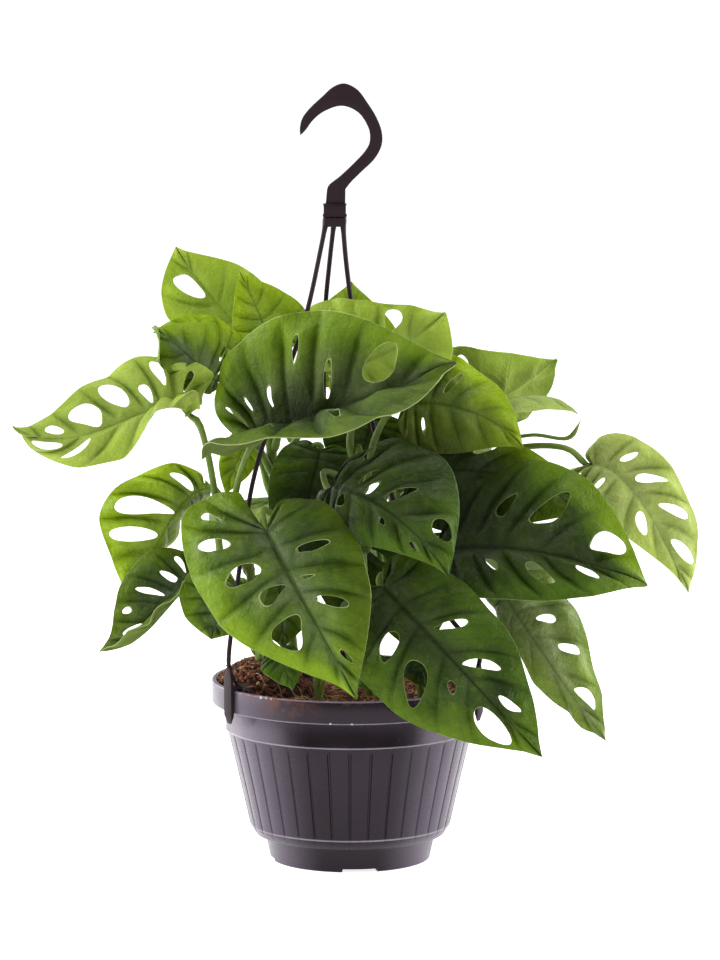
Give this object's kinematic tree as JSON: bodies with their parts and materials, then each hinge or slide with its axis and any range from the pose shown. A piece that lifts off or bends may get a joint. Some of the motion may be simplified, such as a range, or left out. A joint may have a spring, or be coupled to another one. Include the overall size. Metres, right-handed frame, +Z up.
{
  "type": "potted monstera adansonii",
  "caption": "Monstera adansonii house plant with perforated leaves, growing in a fluted plastic hanging pot with a hooked three-strand hanger",
  "frame": {"origin": "the middle of the pot's underside, on the surface it stands on", "axes": "+Z up through the hanger's hook, the plant's front faces -Y, +X to the right seen from the front"},
  "size_m": [0.4679, 0.2815, 0.5338],
  "materials": {
    "pot": "satin",
    "hanger": "satin",
    "soil": "matte",
    "stem": "satin",
    "leaf_bright": "satin",
    "leaf_mid": "satin",
    "leaf_deep": "satin",
    "leaf_pale": "satin"
  },
  "bodies": {
    "root": {"pot": "pot", "soil": "soil", "soil_heap": "soil", "stem_left": "stem", "stem_front": "stem", "stem_middle": "stem", "stem_right": "stem", "stem_back_right": "stem", "stem_back_left": "stem", "leaf_front_left": "leaf_mid", "leaf_upper_left": "leaf_mid", "leaf_centre": "leaf_deep", "leaf_front_right": "leaf_deep", "leaf_right": "leaf_deep", "leaf_far_right": "leaf_bright", "leaf_low_right": "leaf_mid", "leaf_upper_right": "leaf_pale", "leaf_arching_right": "leaf_pale", "leaf_top_right": "leaf_bright", "leaf_top_middle": "leaf_bright", "leaf_top_left": "leaf_bright", "leaf_top_left_small": "leaf_bright", "leaf_left_folded": "leaf_mid", "leaf_far_left": "leaf_bright", "leaf_left": "leaf_bright", "leaf_low_left": "leaf_mid", "leaf_low_left_small": "leaf_mid", "leaf_behind_tip": "leaf_bright", "leaf_inner_right": "leaf_deep", "leaf_inner_left": "leaf_deep", "leaf_inner_top": "leaf_deep", "leaf_inner_tip": "leaf_bright", "leaf_inner_middle": "leaf_deep", "leaf_inner_low_left": "leaf_mid", "leaf_inner_low_right": "leaf_mid", "leaf_back_top": "leaf_mid", "leaf_back_right": "leaf_mid", "leaf_back_left": "leaf_mid", "leaf_back_low": "leaf_deep", "leaf_back_low_right": "leaf_deep", "leaf_back_side_right": "leaf_mid", "leaf_soil_left": "leaf_deep", "leaf_soil_middle": "leaf_deep", "leaf_soil_right": "leaf_deep", "leaf_rolled": "leaf_mid", "hook": "hanger", "strand_left": "hanger", "strand_right": "hanger", "strand_back": "hanger"}
  },
  "joints": []
}
